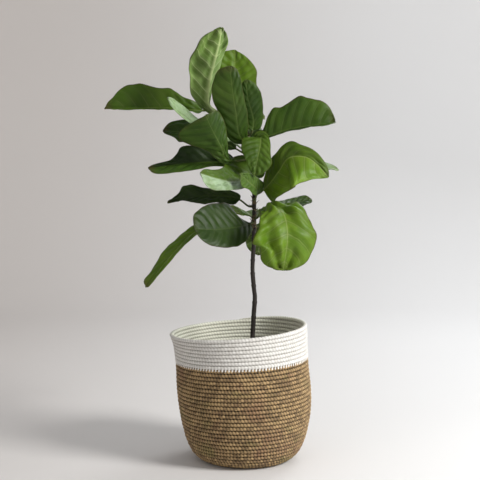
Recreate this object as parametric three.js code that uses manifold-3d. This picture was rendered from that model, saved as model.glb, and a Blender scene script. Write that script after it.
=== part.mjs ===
// A fiddle leaf fig tree in its nursery pot, standing in a coiled seagrass basket.
// Millimetres, +Z up. The origin is the centre of the basket's underside; -Y is the front.
import * as THREE from "three";
import { mergeVertices } from "three/addons/utils/BufferGeometryUtils.js";
import Module from "manifold-3d";

const wasm = await Module();
wasm.setup();

// ---------------------------------------------------------------- driving dimensions
const GAP = 0.3; // clearance between pieces that touch

const BASKET_HEIGHT = 345; // to the mean height of the rim
const BASKET_FOOT_RADIUS = 116; // outer radii of the wall, from the floor up
const BASKET_BELLY_RADIUS = 176;
const BASKET_NECK_RADIUS = 174;
const BASKET_RIM_RADIUS = 178;
const COIL_THICKNESS = 10; // of the stitched coil, so also of the wall and the floor
const BAND_HEIGHT = 88; // of the white rim band
const RIM_TILT = 14; // how far the right of the rim stands above its mean height
const RIM_LEAN = 17; // how far the soft rim leans to the left
const BASKET_SIDES = 44;

const SAUCER_THICKNESS = 2.4;
const SAUCER_LIP = 16; // height of its rim
const SAUCER_FLARE = 3; // how much wider its rim is than its foot
const SAUCER_CLEARANCE = 3; // between the saucer and the basket's wall

const POT_BELOW_RIM = 82; // from the basket's rim down to the pot's
const POT_CLEARANCE = 26; // between the pot's collar and the basket's wall
const POT_WALL = 2.2;
const POT_COLLAR_HEIGHT = 22;
const POT_COLLAR_WIDTH = 4; // how far the collar stands out
const POT_IN_SAUCER = 4; // clearance between the pot's foot and the saucer's wall
const DRAIN_RADIUS = 7;
const DRAIN_COUNT = 6;
const DRAIN_INSET = 21; // from the edge of the pot's foot to the middle of a drain hole
const POT_SIDES = 36;

const SOIL_BELOW_RIM = 20; // from the pot's rim down to the soil
const SOIL_MOUND = 7; // how far the soil rises towards the stem

const PLANT_SCALE = 1; // of the stem's course and the leaves, against the sizes listed below
const STEM_BASE_RADIUS = 6.6;
const STEM_TIP_RADIUS = 4;
const STEM_BURIED = 120; // length below the soil
const STEM_SIDES = 10;
const ROOT_FLARE = 3.5; // how much wider the stem is where it meets the soil
const ROOT_FLARE_HEIGHT = 35;

const LEAF_THICKNESS = 1.4;
const MIDRIB_DEPTH = 1.6; // how far the midrib stands out under the blade
const PETIOLE_RADIUS = 2.6;
const PETIOLE_GAP = 0.8; // between the stem's bark and the end of a petiole
const PETIOLE_LEVEL = 9; // how far a petiole runs level before it bends

const BUD_LENGTH = 34;
const BUD_RADIUS = 4.6;

// ---------------------------------------------------------------- derived levels
const floorTop = COIL_THICKNESS;
const saucerFoot = floorTop + GAP;
const potFoot = saucerFoot + SAUCER_THICKNESS + GAP;
const potHeight = BASKET_HEIGHT - POT_BELOW_RIM - potFoot;
const soilDepth = potHeight - SOIL_BELOW_RIM; // above the pot's foot
const soilLevel = potFoot + soilDepth;

// The stem wanders a little: offsets are from the basket's axis, heights from the soil.
const STEM_PATH = [
  [18, 0, 0],
  [18, 0, 75],
  [21, 0, 135],
  [24, 0, 185],
  [22, 0, 203],
  [18, 0, 255],
  [19, 0, 290],
  [21, 0, 330],
  [22, 0, 440],
  [20, 0, 520],
  [10, 0, 590],
  [-4, 3, 640],
  [-20, 6, 680],
];

// Leaves, from the lowest up. node is the height above the soil where the petiole leaves the stem, and path
// holds the midrib's points as offsets from that node. faces says which way the upper side looks, as azimuth
// (0 is +X, -90 the front) and elevation in degrees, at the base and, if tipFaces is given, at the tip.
// width is across the blade. fold is how far each half is raised at the midrib, in degrees, and curl, where
// given, is how much further it turns towards its margin.
const LEAVES = [
  { node: 362, petiole: 50, width: 90, faces: [-128, 50], fold: 15,
    path: [[-55, -15, 20], [-145, -40, 0], [-210, -75, -60], [-275, -100, -140]] },
  { node: 370, petiole: 24, width: 84, faces: [80, 15], fold: 6,
    path: [[10, 60, 0], [20, 95, -35], [10, 105, -85]] },
  { node: 380, petiole: 24, width: 136, faces: [-105, 18], fold: 8,
    path: [[-25, -50, -5], [-90, -115, -10], [-150, -165, -5]] },
  { node: 386, petiole: 40, width: 104, faces: [80, 62], fold: 16,
    path: [[-10, 60, 10], [-25, 130, 15], [-30, 200, 0]] },
  { node: 392, petiole: 24, width: 154, faces: [-80, 60], tipFaces: [-75, 5], fold: 6, curl: -10,
    path: [[30, -60, 30], [70, -130, 20], [80, -165, -35], [70, -160, -120]] },
  { node: 408, petiole: 40, width: 84, faces: [-100, 55], fold: 18,
    path: [[60, 60, 5], [115, 120, 15], [160, 160, 20]] },
  { node: 422, petiole: 40, width: 90, faces: [-90, 40], fold: 20,
    path: [[-45, 15, 20], [-130, 40, 25], [-195, 60, 15], [-230, 65, 5]] },
  { node: 440, petiole: 30, width: 78, faces: [-85, 62], fold: 10,
    path: [[10, -55, 40], [5, -110, 35], [-5, -165, 25]] },
  { node: 456, petiole: 28, width: 138, faces: [-90, 38], fold: 5,
    path: [[40, -25, 30], [80, -60, 65], [122, -90, 84], [164, -108, 56]] },
  { node: 472, petiole: 35, width: 126, faces: [-95, 28], fold: 5,
    path: [[-40, -50, 17], [-80, -120, 27], [-120, -180, 30]] },
  { node: 486, petiole: 34, width: 112, faces: [95, 70], fold: 16,
    path: [[-10, 60, 15], [-25, 130, 30], [-30, 215, 25]] },
  { node: 512, petiole: 40, width: 104, faces: [-105, 30], fold: 30,
    path: [[-70, -15, 25], [-140, -30, 25], [-200, -40, 20], [-270, -50, 10]] },
  { node: 526, petiole: 40, width: 80, faces: [-90, 60], fold: 20,
    path: [[90, 70, -5], [165, 130, -5], [235, 175, -10]] },
  { node: 545, petiole: 30, width: 146, faces: [92, -5], tipFaces: [92, -15], fold: 32,
    path: [[-40, -55, 20], [-70, -95, 40], [-100, -130, 70], [-130, -165, 100]] },
  { node: 556, petiole: 44, width: 94, faces: [-105, 40], fold: 15,
    path: [[-60, 30, 25], [-135, 75, 45], [-190, 110, 60], [-240, 135, 65]] },
  { node: 560, petiole: 44, width: 68, faces: [-90, 20], fold: 10,
    path: [[20, -35, 18], [20, -62, 8], [20, -82, -30], [20, -86, -66]] },
  { node: 566, petiole: 60, width: 56, faces: [-47, 45], fold: 10,
    path: [[-65, -15, 35], [-130, -55, 65], [-175, -85, 95], [-210, -110, 130]] },
  { node: 578, petiole: 34, width: 118, faces: [90, 50], fold: 16,
    path: [[-5, 60, 40], [-15, 130, 75], [-25, 205, 100]] },
  { node: 584, petiole: 22, width: 165, faces: [-90, 48], fold: 40,
    path: [[50, 0, 20], [115, -10, 40], [180, -15, 50], [220, -10, 55]] },
  { node: 600, petiole: 22, width: 110, faces: [95, 15], fold: 12,
    path: [[-10, -25, 20], [-30, -60, 65], [-40, -90, 110], [-40, -100, 145]] },
  { node: 610, petiole: 22, width: 86, faces: [80, 15], fold: 12,
    path: [[15, -20, 30], [0, -40, 90], [-5, -50, 135]] },
  { node: 628, petiole: 150, width: 132, faces: [-90, 45], fold: 40,
    path: [[-50, 60, 35], [-135, 55, 40], [-225, 50, 45], [-315, 40, 45], [-370, 35, 45]] },
  { node: 656, petiole: 66, width: 150, faces: [120, 10], fold: 38,
    path: [[-50, -35, 4], [-78, -50, 20], [-85, -60, 70], [-65, -60, 120], [-55, -50, 170],
      [-55, -30, 220]] },
  { node: 664, petiole: 34, width: 112, faces: [-90, 15], fold: 10,
    path: [[-10, 40, 30], [-15, 80, 95], [-15, 95, 170]] },
];

const COLOURS = {
  straw: 0xb09468, white: 0xe9e7e0, plastic: 0x2c2c2c, terracotta: 0x8a4f36, soil: 0x3a2b20, bark: 0x4a3a2e,
  leaf: 0x3f6a2a, bud: 0x7a5a3a,
};

// ---------------------------------------------------------------- shared helpers
function material(colour, roughness) {
  return new THREE.MeshStandardMaterial({ color: colour, roughness, metalness: 0 });
}

function part(name, geometry, surface) {
  const mesh = new THREE.Mesh(geometry, surface);
  mesh.name = name;
  return mesh;
}

// A closed surface through rings of equally many points, with one point closing each end. The two halves of
// a ring are cut along matching diagonals, so that the faces of a thin, twisted blade stay apart.
function loft(rings, first, last) {
  const count = rings[0].length;
  const points = [first, ...rings.flat(), last];
  const index = [];
  const at = (ring, k) => 1 + ring * count + (k % count);
  for (let k = 0; k < count; k++) {
    index.push(0, at(0, k + 1), at(0, k));
    index.push(points.length - 1, at(rings.length - 1, k), at(rings.length - 1, k + 1));
  }
  for (let ring = 0; ring + 1 < rings.length; ring++)
    for (let k = 0; k < count; k++) {
      const corners = [at(ring, k), at(ring, k + 1), at(ring + 1, k + 1), at(ring + 1, k)];
      const [a, b, c, d] = k < count / 2 ? corners : [...corners.slice(1), corners[0]];
      index.push(a, b, d, b, c, d);
    }
  const geometry = new THREE.BufferGeometry().setFromPoints(points);
  geometry.setIndex(index);
  geometry.computeVertexNormals();
  return geometry;
}

function toSolid(geometry) {
  const bare = geometry.clone();
  bare.deleteAttribute("normal");
  bare.deleteAttribute("uv");
  const merged = mergeVertices(bare, 1e-3);
  return new wasm.Manifold(new wasm.Mesh({
    numProp: 3,
    vertProperties: merged.attributes.position.array,
    triVerts: new Uint32Array(merged.index.array),
  }));
}

function toGeometry(solid) {
  const mesh = solid.getMesh();
  const geometry = new THREE.BufferGeometry();
  geometry.setAttribute("position", new THREE.BufferAttribute(mesh.vertProperties, 3));
  geometry.setIndex(new THREE.BufferAttribute(mesh.triVerts, 1));
  geometry.computeVertexNormals();
  return geometry;
}

// A solid of revolution about +Z, from [radius, height] pairs that end on the axis or close on themselves.
function turned(profile, sides) {
  const geometry = new THREE.LatheGeometry(profile.map(([r, z]) => new THREE.Vector2(r, z)), sides);
  return geometry.rotateX(Math.PI / 2);
}

// ---------------------------------------------------------------- basket
const belly = (share) => THREE.MathUtils.lerp(BASKET_FOOT_RADIUS, BASKET_BELLY_RADIUS, share);

// The wall's outer radius at shares of the basket's height.
const wallShape = new THREE.CubicInterpolant(
  [0, 0.06, 0.14, 0.25, 0.38, 0.52, 0.74, 1],
  [...[0, 0.4, 0.65, 0.83, 0.95, 1].map(belly), BASKET_NECK_RADIUS, BASKET_RIM_RADIUS],
  1,
  new Float64Array(1),
);

function wallRadius(z) {
  return wallShape.evaluate(z / BASKET_HEIGHT)[0];
}

// The wall's outer profile between two heights.
function wallProfile(from, to, steps) {
  return Array.from({ length: steps + 1 }, (_, i) => {
    const z = THREE.MathUtils.lerp(from, to, i / steps);
    return [wallRadius(z), z];
  });
}

function innerProfile(from, to, steps) {
  return wallProfile(from, to, steps).map(([r, z]) => [r - COIL_THICKNESS, z]).reverse();
}

// The basket is soft: towards the rim it leans and tilts, and its belly bulges a little here and there.
function soften(geometry) {
  const position = geometry.attributes.position;
  for (let i = 0; i < position.count; i++) {
    const x = position.getX(i);
    const y = position.getY(i);
    const z = position.getZ(i);
    const share = THREE.MathUtils.clamp(z / BASKET_HEIGHT, 0, 1);
    const angle = Math.atan2(y, x);
    const lobes = 0.009 * Math.sin(2 * angle + 0.6) + 0.007 * Math.sin(3 * angle + 5 * share);
    const scale = 1 + lobes * Math.sin(Math.PI * share);
    const lean = RIM_LEAN * share ** 2;
    const tilt = (RIM_TILT * share ** 4 * x) / BASKET_RIM_RADIUS;
    position.setXYZ(i, x * scale - lean, y * scale, z + tilt);
  }
  geometry.computeVertexNormals();
  return geometry;
}

function basket() {
  const split = BASKET_HEIGHT - BAND_HEIGHT;
  const wall = [...wallProfile(0, split, 9), ...innerProfile(floorTop, split, 8)];
  const body = turned([[0, 0], ...wall, [0, floorTop]], BASKET_SIDES);
  const bandFoot = split + GAP;
  const ring = [...wallProfile(bandFoot, BASKET_HEIGHT, 4), ...innerProfile(bandFoot, BASKET_HEIGHT, 4)];
  const band = turned([...ring, ring[0]], BASKET_SIDES);
  return [
    part("basket_body", soften(body), material(COLOURS.straw, 0.85)),
    part("basket_rim_band", soften(band), material(COLOURS.white, 0.8)),
  ];
}

// ---------------------------------------------------------------- saucer, pot and soil
const saucerRadius = wallRadius(floorTop) - COIL_THICKNESS - SAUCER_CLEARANCE;

function saucer() {
  const foot = saucerRadius - SAUCER_FLARE;
  const inside = saucerFoot + SAUCER_THICKNESS;
  const rim = saucerFoot + SAUCER_LIP;
  const profile = [
    [0, saucerFoot],
    [foot, saucerFoot],
    [saucerRadius, rim],
    [saucerRadius - SAUCER_THICKNESS, rim],
    [foot - SAUCER_THICKNESS, inside],
    [0, inside],
  ];
  return part("drip_saucer", turned(profile, POT_SIDES), material(COLOURS.terracotta, 0.5));
}

const potFootRadius = saucerRadius - SAUCER_FLARE - SAUCER_THICKNESS - POT_IN_SAUCER;
const potTopRadius = wallRadius(potFoot + potHeight) - COIL_THICKNESS - POT_CLEARANCE;

// The pot's outer radius at a height above its foot, collar aside.
function potRadius(height) {
  return THREE.MathUtils.lerp(potFootRadius, potTopRadius - POT_COLLAR_WIDTH, height / potHeight);
}

// The pot's inner radius at a height above its foot, below the step in its collar.
function potBore(height) {
  return potRadius(height - POT_WALL) - POT_WALL;
}

function nurseryPot() {
  const collar = potHeight - POT_COLLAR_HEIGHT;
  const step = collar + POT_WALL;
  const profile = [
    [0, 0],
    [potFootRadius, 0],
    [potRadius(collar), collar],
    [potTopRadius, collar],
    [potTopRadius, potHeight],
    [potTopRadius - POT_WALL, potHeight],
    [potTopRadius - POT_WALL, step],
    [potBore(step), step],
    [potBore(POT_WALL), POT_WALL],
    [0, POT_WALL],
  ];
  let solid = toSolid(turned(profile, POT_SIDES));
  for (let i = 0; i < DRAIN_COUNT; i++) {
    const angle = (i * 2 * Math.PI) / DRAIN_COUNT;
    const reach = potFootRadius - DRAIN_INSET;
    const drill = new THREE.CylinderGeometry(DRAIN_RADIUS, DRAIN_RADIUS, 4 * POT_WALL, 10);
    drill.rotateX(Math.PI / 2).translate(reach * Math.cos(angle), reach * Math.sin(angle), 0);
    solid = solid.subtract(toSolid(drill));
  }
  return part("nursery_pot", toGeometry(solid).translate(0, 0, potFoot), material(COLOURS.plastic, 0.45));
}

function soil() {
  const bottom = POT_WALL + GAP;
  const step = potHeight - POT_COLLAR_HEIGHT + POT_WALL;
  const shoulder = Math.min(soilDepth, step) - GAP;
  const edge = potBore(shoulder) - GAP;
  const profile = [
    [0, bottom],
    [potBore(bottom) - GAP, bottom],
    [edge, shoulder],
    [edge, soilDepth + GAP],
    [edge / 2, soilDepth + SOIL_MOUND / 2],
    [0, soilDepth + SOIL_MOUND],
  ];
  const mound = toSolid(turned(profile, POT_SIDES).translate(0, 0, potFoot));
  const planted = mound.subtract(toSolid(stemGeometry(GAP)));
  return part("potting_soil", toGeometry(planted), material(COLOURS.soil, 0.95));
}

// ---------------------------------------------------------------- stem and bud
const aboveSoil = STEM_PATH.map((p) => new THREE.Vector3(...p).multiplyScalar(PLANT_SCALE));
const rootEnd = aboveSoil[0].clone().setZ(-STEM_BURIED);
const stemCurve = new THREE.CatmullRomCurve3([rootEnd, ...aboveSoil], false, "centripetal");
stemCurve.points.forEach((p) => (p.z += soilLevel));
const stemTop = stemCurve.getPointAt(1);

// The point on the stem's axis at a height; the axis always climbs, so halving finds it.
function stemAxisAt(z) {
  let low = 0;
  let high = 1;
  for (let i = 0; i < 30; i++) {
    const middle = (low + high) / 2;
    if (stemCurve.getPoint(middle).z < z) low = middle;
    else high = middle;
  }
  return stemCurve.getPoint(low);
}

function stemRadiusAt(z) {
  const share = THREE.MathUtils.clamp((z - soilLevel) / (stemTop.z - soilLevel), 0, 1);
  const flare = ROOT_FLARE * Math.exp(-(((z - soilLevel) / ROOT_FLARE_HEIGHT) ** 2));
  return THREE.MathUtils.lerp(STEM_BASE_RADIUS, STEM_TIP_RADIUS, share) + flare;
}

function levelRing(centre, radius) {
  return Array.from({ length: STEM_SIDES }, (_, k) => {
    const angle = (k * 2 * Math.PI) / STEM_SIDES;
    return centre.clone().add(new THREE.Vector3(radius * Math.cos(angle), radius * Math.sin(angle), 0));
  });
}

// The stem or, grown by a gap, the socket that it stands in.
function stemGeometry(grow) {
  const stations = 30;
  const centres = Array.from({ length: stations + 1 }, (_, i) => stemCurve.getPointAt(i / stations));
  centres[0].z -= grow;
  const rings = centres.map((centre) => levelRing(centre, stemRadiusAt(centre.z) + grow));
  return loft(rings, centres[0], centres[stations]);
}

function bud() {
  const base = stemTop.clone().add(new THREE.Vector3(0, 0, GAP));
  const lean = new THREE.Vector3(-0.18, 0.05, 1).normalize();
  const swelling = [[0, 0.8], [0.15, 1], [0.4, 0.85], [0.7, 0.45], [0.9, 0.16]];
  const at = (share) => base.clone().addScaledVector(lean, share * BUD_LENGTH);
  const rings = swelling.map(([share, width]) => levelRing(at(share), BUD_RADIUS * width));
  return part("growing_tip", loft(rings, base, at(1)), material(COLOURS.bud, 0.7));
}

// ---------------------------------------------------------------- leaves
function direction([azimuth, elevation]) {
  const a = THREE.MathUtils.degToRad(azimuth);
  const e = THREE.MathUtils.degToRad(elevation);
  return new THREE.Vector3(Math.cos(e) * Math.cos(a), Math.cos(e) * Math.sin(a), Math.sin(e));
}

// Half of a fiddle leaf's width as a share of its greatest, at a share of the blade's length: a rounded
// base, a waist, then the broad end.
function outline(u) {
  const base = Math.sqrt(1 - Math.max(0, 1 - u / 0.16) ** 2);
  const end = Math.sqrt(1 - Math.max(0, (u - 0.68) / 0.32) ** 2);
  const body = THREE.MathUtils.lerp(0.74, 1, THREE.MathUtils.smoothstep(u, 0.36, 0.66));
  const waist = 1 - 0.1 * Math.exp(-(((u - 0.38) / 0.12) ** 2));
  return base * end * body * waist;
}

const BLADE_SHARES = [0.03, 0.1, 0.2, 0.31, 0.42, 0.53, 0.64, 0.75, 0.85, 0.93, 0.98];
const ACROSS = [-1, -0.5, 0, 0.5, 1]; // points over the top of the blade, from margin to margin

function leafGeometry(leaf) {
  const node = stemAxisAt(soilLevel + leaf.node * PLANT_SCALE);
  const bends = leaf.path.map((p) => new THREE.Vector3(...p).multiplyScalar(PLANT_SCALE).add(node));
  const outward = bends[0].clone().sub(node).setZ(0).normalize();
  const start = node.clone().addScaledVector(outward, stemRadiusAt(node.z) + PETIOLE_GAP);
  const level = start.clone().addScaledVector(outward, PETIOLE_LEVEL);
  const midrib = new THREE.CatmullRomCurve3([start, level, ...bends], false, "centripetal");
  const length = midrib.getLength();
  const petiole = leaf.petiole * PLANT_SCALE;
  const blade = length - petiole;
  const facingBase = direction(leaf.faces);
  const facingTip = direction(leaf.tipFaces ?? leaf.faces);

  const frameAt = (distance) => {
    const along = midrib.getTangentAt(distance / length);
    const u = THREE.MathUtils.clamp((distance - petiole) / blade, 0, 1);
    const up = facingBase.clone().lerp(facingTip, THREE.MathUtils.smoothstep(u, 0, 1));
    up.addScaledVector(along, -up.dot(along)).normalize();
    return { centre: midrib.getPointAt(distance / length), up, side: along.clone().cross(up) };
  };

  // A petiole ring has as many points as a blade ring, and starts on the same side.
  const tube = (distance, radius) => {
    const { centre, up, side } = frameAt(distance);
    return Array.from({ length: 2 * (ACROSS.length - 1) }, (_, k) => {
      const angle = Math.PI - (k * Math.PI) / (ACROSS.length - 1);
      const sideways = radius * Math.cos(angle);
      return centre.clone().addScaledVector(side, sideways).addScaledVector(up, radius * Math.sin(angle));
    });
  };

  const section = (u) => {
    const { centre, up, side } = frameAt(petiole + u * blade);
    const half = (leaf.width / 2) * PLANT_SCALE * outline(u);
    const opening = THREE.MathUtils.smoothstep(u, 0, 0.15);
    const fold = THREE.MathUtils.degToRad(leaf.fold) * opening;
    const curl = THREE.MathUtils.degToRad(leaf.curl ?? 0) * opening;
    const place = (v, depth) => {
      const reach = Math.abs(v);
      const angle = fold + (curl * reach) / 2;
      const across = v * half * Math.cos(angle);
      const rise = reach * half * Math.sin(angle);
      return centre.clone().addScaledVector(side, across).addScaledVector(up, rise + depth);
    };
    const skin = LEAF_THICKNESS / 2;
    const keel = skin + MIDRIB_DEPTH * (1 - u);
    const top = ACROSS.map((v) => place(v, Math.abs(v) === 1 ? 0 : skin));
    const bottom = ACROSS.slice(1, -1).reverse().map((v) => place(v, v === 0 ? -keel : -skin));
    return [...top, ...bottom];
  };

  const rings = [
    tube(0, PETIOLE_RADIUS * 1.2),
    tube(petiole * 0.35, PETIOLE_RADIUS),
    tube(petiole * 0.9, PETIOLE_RADIUS * 0.9),
    ...BLADE_SHARES.map(section),
  ];
  return loft(rings, midrib.getPointAt(0), midrib.getPointAt(1));
}

function leaves() {
  const green = material(COLOURS.leaf, 0.4);
  return LEAVES.map((leaf, i) => part(`leaf_${String(i + 1).padStart(2, "0")}`, leafGeometry(leaf), green));
}

// ---------------------------------------------------------------- assembly
const plant = new THREE.Group();
plant.add(...basket(), saucer(), nurseryPot(), soil());
plant.add(part("stem", stemGeometry(0), material(COLOURS.bark, 0.8)), bud(), ...leaves());

export default plant;
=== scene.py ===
"""A fiddle leaf fig in its nursery pot, standing in a coiled seagrass basket. Metres, +Z up, -Y the front."""

import math

import bpy
import numpy as np
from mathutils import Euler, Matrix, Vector


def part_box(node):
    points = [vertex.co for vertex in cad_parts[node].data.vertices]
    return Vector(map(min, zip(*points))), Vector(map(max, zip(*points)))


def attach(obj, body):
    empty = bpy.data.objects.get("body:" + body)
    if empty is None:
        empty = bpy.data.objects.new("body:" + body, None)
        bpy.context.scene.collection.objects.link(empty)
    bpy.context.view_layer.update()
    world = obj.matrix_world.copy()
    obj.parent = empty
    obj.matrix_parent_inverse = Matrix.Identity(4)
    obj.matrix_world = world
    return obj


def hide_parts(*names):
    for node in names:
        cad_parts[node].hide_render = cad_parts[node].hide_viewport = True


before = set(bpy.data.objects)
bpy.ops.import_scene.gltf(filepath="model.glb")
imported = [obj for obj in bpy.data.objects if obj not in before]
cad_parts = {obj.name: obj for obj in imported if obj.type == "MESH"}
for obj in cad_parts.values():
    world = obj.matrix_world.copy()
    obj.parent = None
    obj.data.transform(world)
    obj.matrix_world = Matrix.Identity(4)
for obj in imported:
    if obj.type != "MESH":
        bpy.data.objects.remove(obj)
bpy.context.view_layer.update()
MM = 0.001
UP = np.array([0.0, 0.0, 1.0])

# ---------------------------------------------------------------- camera
camera = bpy.data.objects.new("camera", bpy.data.cameras.new("camera"))
camera.location = (-0.015, -2.8, 0.807)
camera.rotation_euler = Euler((math.radians(90 - 4.7), 0, 0))
camera.data.lens = 80.6
camera.data.sensor_width = 36
bpy.context.scene.collection.objects.link(camera)
bpy.context.scene.camera = camera


# ---------------------------------------------------------------- numbers
def lerp(a, b, t):
    return a + (b - a) * t


def smoothstep(x, low, high):
    t = np.clip((np.asarray(x, float) - low) / (high - low), 0, 1)
    return t * t * (3 - 2 * t)


def unit(v):
    return v / np.maximum(np.linalg.norm(v, axis=-1, keepdims=True), 1e-12)


def chance(*keys):
    """A number from 0 to 1 that depends on the keys alone."""
    x = np.zeros(np.broadcast(*keys).shape) if len(keys) > 1 else np.zeros(np.shape(keys[0]))
    for i, key in enumerate(keys):
        x = x + np.asarray(key, float) * (12.9898 + 65.164 * i)
    return np.mod(np.abs(np.sin(x) * 43758.5453), 1.0)


def waves(x, seed, count=4, low=0.6, high=2.6):
    """A smooth wandering value of about -1 to 1 along x."""
    rng = np.random.default_rng(seed)
    total = np.zeros(np.shape(x))
    for rate, phase in zip(rng.uniform(low, high, count), rng.uniform(0, 2 * np.pi, count)):
        total = total + np.sin(rate * np.asarray(x) + phase)
    return total / count


def hermite(a, b, leaving, arriving, t):
    """The cubic from a to b with the given slopes at its ends."""
    square = (3 * (b - a) - 2 * leaving - arriving) * t**2
    return a + leaving * t + square + (2 * (a - b) + leaving + arriving) * t**3


def circle(steps):
    return np.arange(steps) * 2 * np.pi / steps


def catmull(points, steps=40):
    """Points along a centripetal Catmull-Rom curve."""
    p = np.vstack([2 * points[0] - points[1], points, 2 * points[-1] - points[-2]])
    out = []
    for i in range(1, len(p) - 2):
        a, b, c, d = p[i - 1 : i + 3]
        ab, bc, cd = (max(np.linalg.norm(q) ** 0.5, 1e-6) for q in (b - a, c - b, d - c))
        first = ((b - a) / ab - (c - a) / (ab + bc) + (c - b) / bc) * bc
        second = ((c - b) / bc - (d - b) / (bc + cd) + (d - c) / cd) * bc
        t = np.linspace(0, 1, steps, endpoint=False)[:, None]
        out.append(hermite(b, c, first, second, t))
    return np.vstack([*out, points[-1:]])


def running_length(points):
    return np.concatenate([[0], np.cumsum(np.linalg.norm(np.diff(points, axis=0), axis=1))])


def along_curve(points, lengths, at):
    return np.stack([np.interp(at, lengths, points[:, i]) for i in range(points.shape[1])], -1)


def direction(azimuth, elevation):
    a, e = math.radians(azimuth), math.radians(elevation)
    return np.array([math.cos(e) * math.cos(a), math.cos(e) * math.sin(a), math.sin(e)])


# ---------------------------------------------------------------- meshes
def make_mesh(name, points, faces, materials, fields=None, corners=None, kinds=None):
    """A smooth-shaded object. fields are point attributes, corners a bake map, kinds each face's material."""
    mesh = bpy.data.meshes.new(name)
    faces = np.asarray(faces, np.int32)
    mesh.vertices.add(len(points))
    mesh.vertices.foreach_set("co", np.asarray(points, np.float32).ravel())
    mesh.loops.add(faces.size)
    mesh.loops.foreach_set("vertex_index", faces.ravel())
    mesh.polygons.add(len(faces))
    mesh.polygons.foreach_set("loop_start", np.arange(0, faces.size, faces.shape[1], dtype=np.int32))
    mesh.update(calc_edges=True)
    mesh.polygons.foreach_set("use_smooth", np.ones(len(faces), bool))
    for material in materials:
        mesh.materials.append(material)
    if kinds is not None:
        mesh.polygons.foreach_set("material_index", np.asarray(kinds, np.int32))
    for key, values in (fields or {}).items():
        values = np.asarray(values, np.float32)
        kind, slot = ("FLOAT", "value") if values.ndim == 1 else ("FLOAT_VECTOR", "vector")
        mesh.attributes.new(key, kind, "POINT").data.foreach_set(slot, values.ravel())
    if corners is not None:
        layer = mesh.uv_layers.new(name="OFBake", do_init=False)
        layer.uv.foreach_set("vector", np.asarray(corners, np.float32).ravel())
    mesh.validate()
    mesh.update()
    thing = bpy.data.objects.new(name, mesh)
    bpy.context.scene.collection.objects.link(thing)
    return thing


def grid_faces(rings, count):
    """Quads between rings of count points each, closed around, and the corners' places as ring and step."""
    ring, step = np.meshgrid(np.arange(rings - 1), np.arange(count), indexing="ij")
    ring, step = ring.ravel(), step.ravel()
    following = (step + 1) % count
    low, high = ring * count, (ring + 1) * count
    faces = np.stack([low + step, low + following, high + following, high + step], 1)
    rows = np.stack([ring, ring, ring + 1, ring + 1], 1)
    steps = np.stack([step, step + 1, step + 1, step], 1)
    return faces, rows, steps


def lid_faces(count):
    """Quads across a ring of count points."""
    return np.array([[i, count - 1 - i, count - 2 - i, i + 1] for i in range(count // 2 - 1)])


def tube(name, rings, materials, fields=None, rows=None, kinds=None):
    """A closed tube through rings (ring, step, xyz), each end drawn in to a point.
    rows gives each ring's place in the bake map, which is cut into strips at the whole numbers."""
    count = rings.shape[1]

    def drawn_in(end):
        return end.mean(1, keepdims=True) * 0.999 + end * 0.001

    rings = np.concatenate([drawn_in(rings[:1]), rings, drawn_in(rings[-1:])])
    fields = {key: np.concatenate([v[:1], v, v[-1:]]) for key, v in (fields or {}).items()}
    total = len(rings)
    faces, ring, step = grid_faces(total, count)
    if rows is None:
        corners = np.stack([0.01 + 0.98 * step / count, 0.01 + 0.98 * ring / (total - 1)], -1)
    else:
        rows = np.concatenate([rows[:1], rows, rows[-1:]])
        start = np.floor(rows[ring[:, :1]] + 1e-9)
        strips = math.floor(rows.max() - 1e-6) + 1
        place = np.clip(rows[ring] - start, 0, 1)
        height = np.minimum(start, strips - 1) + 0.03 + 0.94 * step / count
        corners = np.stack([0.002 + 0.996 * place, height / strips], -1)
    flat = {key: v.reshape(-1, *v.shape[2:]) for key, v in fields.items()}
    lids = lid_faces(count)
    lids = np.vstack([lids, lids[:, ::-1] + (total - 1) * count])
    corners = np.concatenate([corners, np.full((len(lids), 4, 2), 0.004)])
    face_kinds = None
    if kinds is not None:
        kinds = np.concatenate([kinds[:1], kinds, kinds[-1:]])
        face_kinds = np.concatenate([kinds[:-1].ravel(), np.zeros(len(lids))])
    return make_mesh(name, rings.reshape(-1, 3), np.vstack([faces, lids]), materials, flat, corners, face_kinds)


def many(name, points, material, fields=None, corners=None):
    """One piece made of many small closed solids, in millimetres: points[solid, ring, step]."""
    total, levels, sides = points.shape[:3]
    lids = lid_faces(sides)
    single = np.vstack([grid_faces(levels, sides)[0], lids, lids[:, ::-1] + (levels - 1) * sides])
    every = (np.arange(total) * levels * sides)[:, None, None] + single
    return make_mesh(name, points.reshape(-1, 3) * MM, every.reshape(-1, 4), [material], fields, corners)


def revolve(profile, sides):
    """Rings of points about +Z, one for each (radius, height) pair."""
    angle, radius = circle(sides), profile[:, :1]
    return np.stack([radius * np.cos(angle), radius * np.sin(angle), np.repeat(profile[:, 1:], sides, 1)], -1)


def turned(name, profile, sides, material):
    """A closed solid of revolution from (radius, height) pairs in millimetres, from axis to axis."""
    return tube(name, revolve(np.asarray(profile, float) * MM, sides), [material])


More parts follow.
